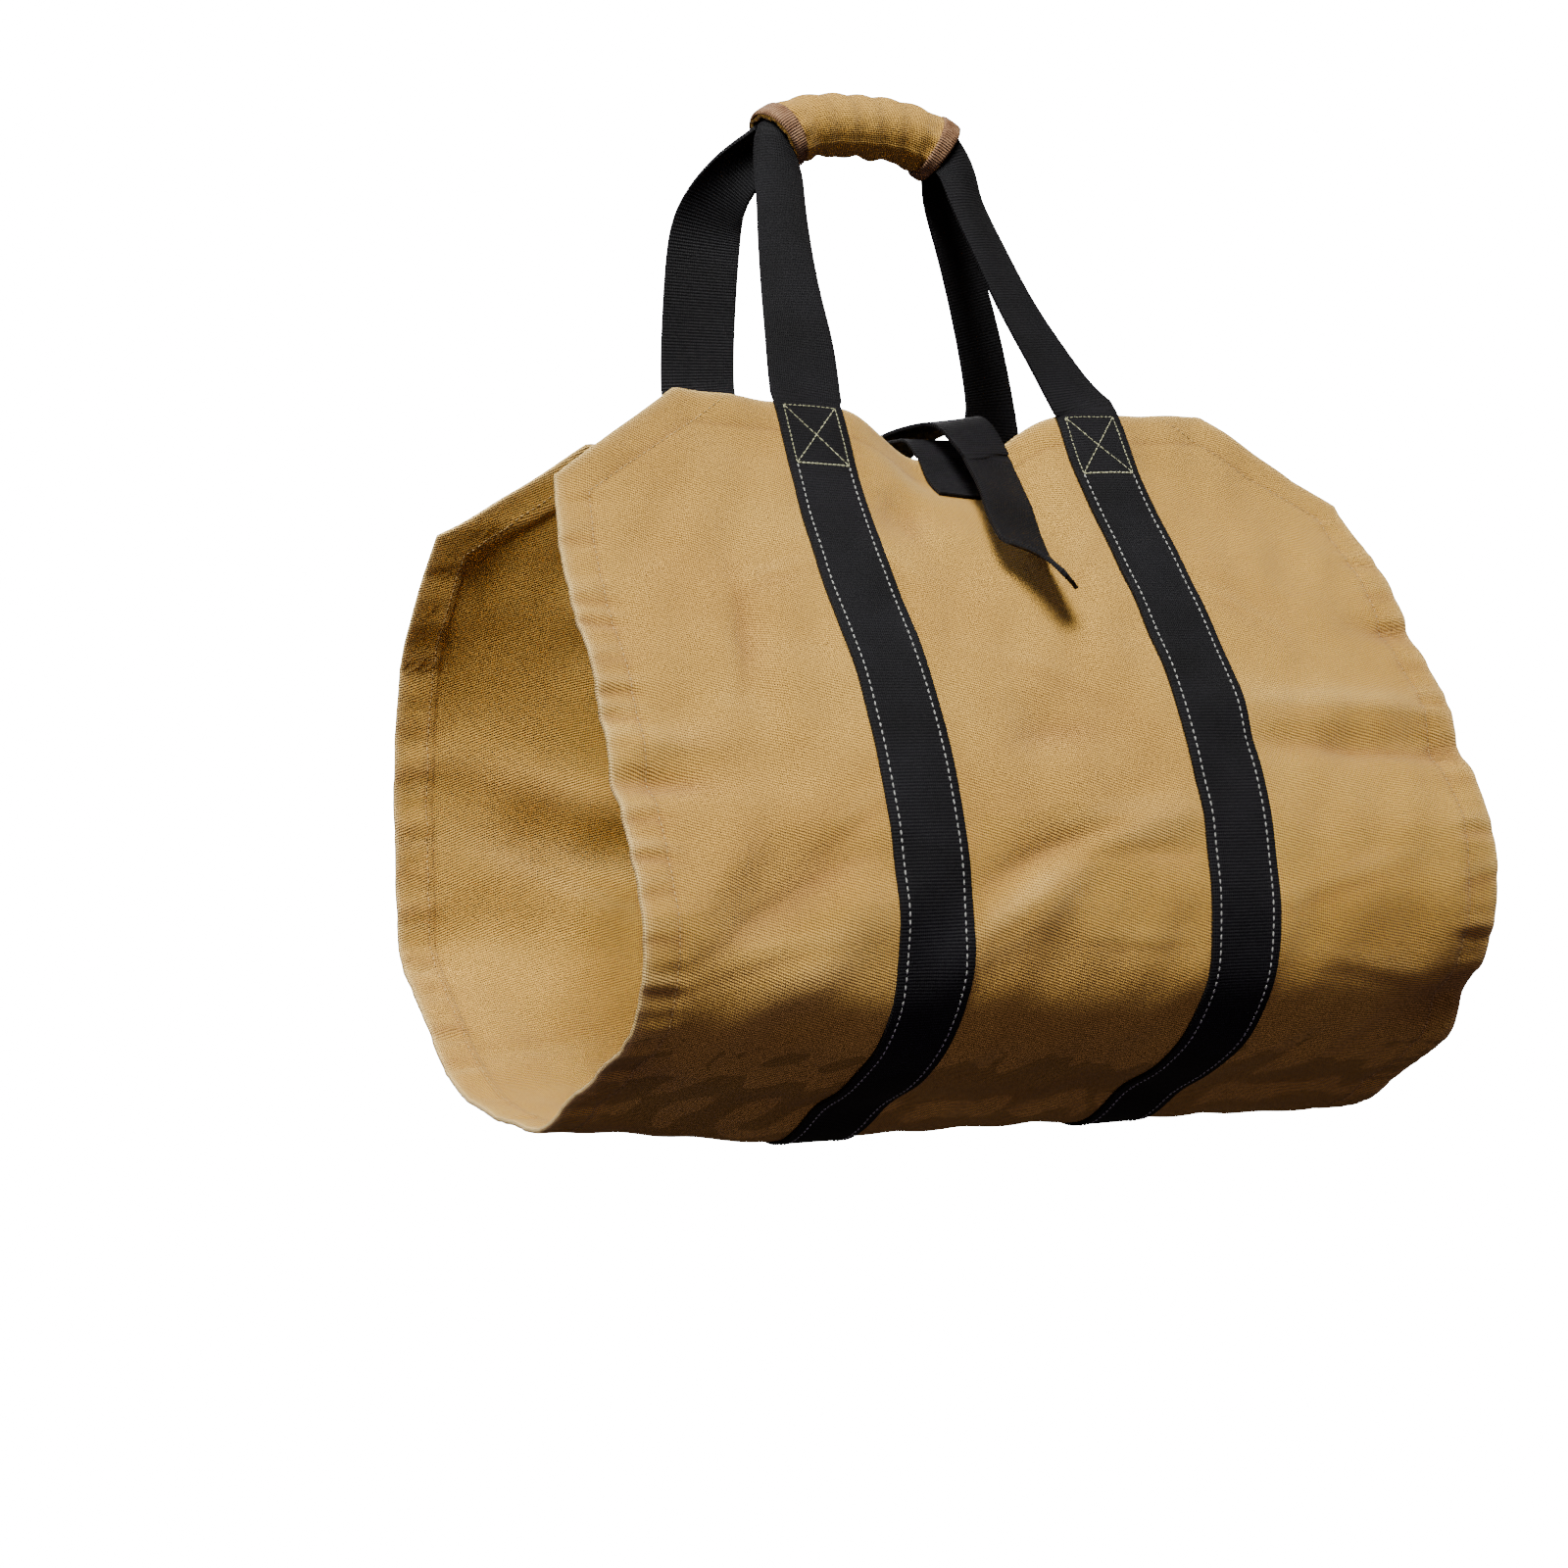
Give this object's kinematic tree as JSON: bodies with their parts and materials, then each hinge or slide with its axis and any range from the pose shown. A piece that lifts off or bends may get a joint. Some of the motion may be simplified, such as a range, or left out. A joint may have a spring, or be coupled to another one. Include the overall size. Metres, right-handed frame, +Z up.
{
  "type": "canvas log carrier",
  "caption": "Open-ended canvas sling for carrying firewood, with webbing straps sewn round it, paired webbing handles in one wrapped grip, and a closure strap over the mouth.",
  "frame": {"origin": "middle of the hand grip, on the grip's own middle line", "axes": "+Z up along the pull of the hand, +X along the logs towards the end on the right, +Y towards the back panel, so the front panel with the closure's tail faces -Y"},
  "size_m": [0.4607, 0.3163, 0.5398],
  "materials": {
    "canvas": "matte",
    "webbing": "matte",
    "binding": "matte"
  },
  "bodies": {
    "root": {"canvas_body": "canvas", "strap_left": "webbing", "strap_right": "webbing", "handle_front": "webbing", "handle_back": "webbing", "grip_wrap": "canvas", "grip_binding_left": "binding", "grip_binding_right": "binding", "closure_tab": "webbing", "closure_strap": "webbing"}
  },
  "joints": []
}
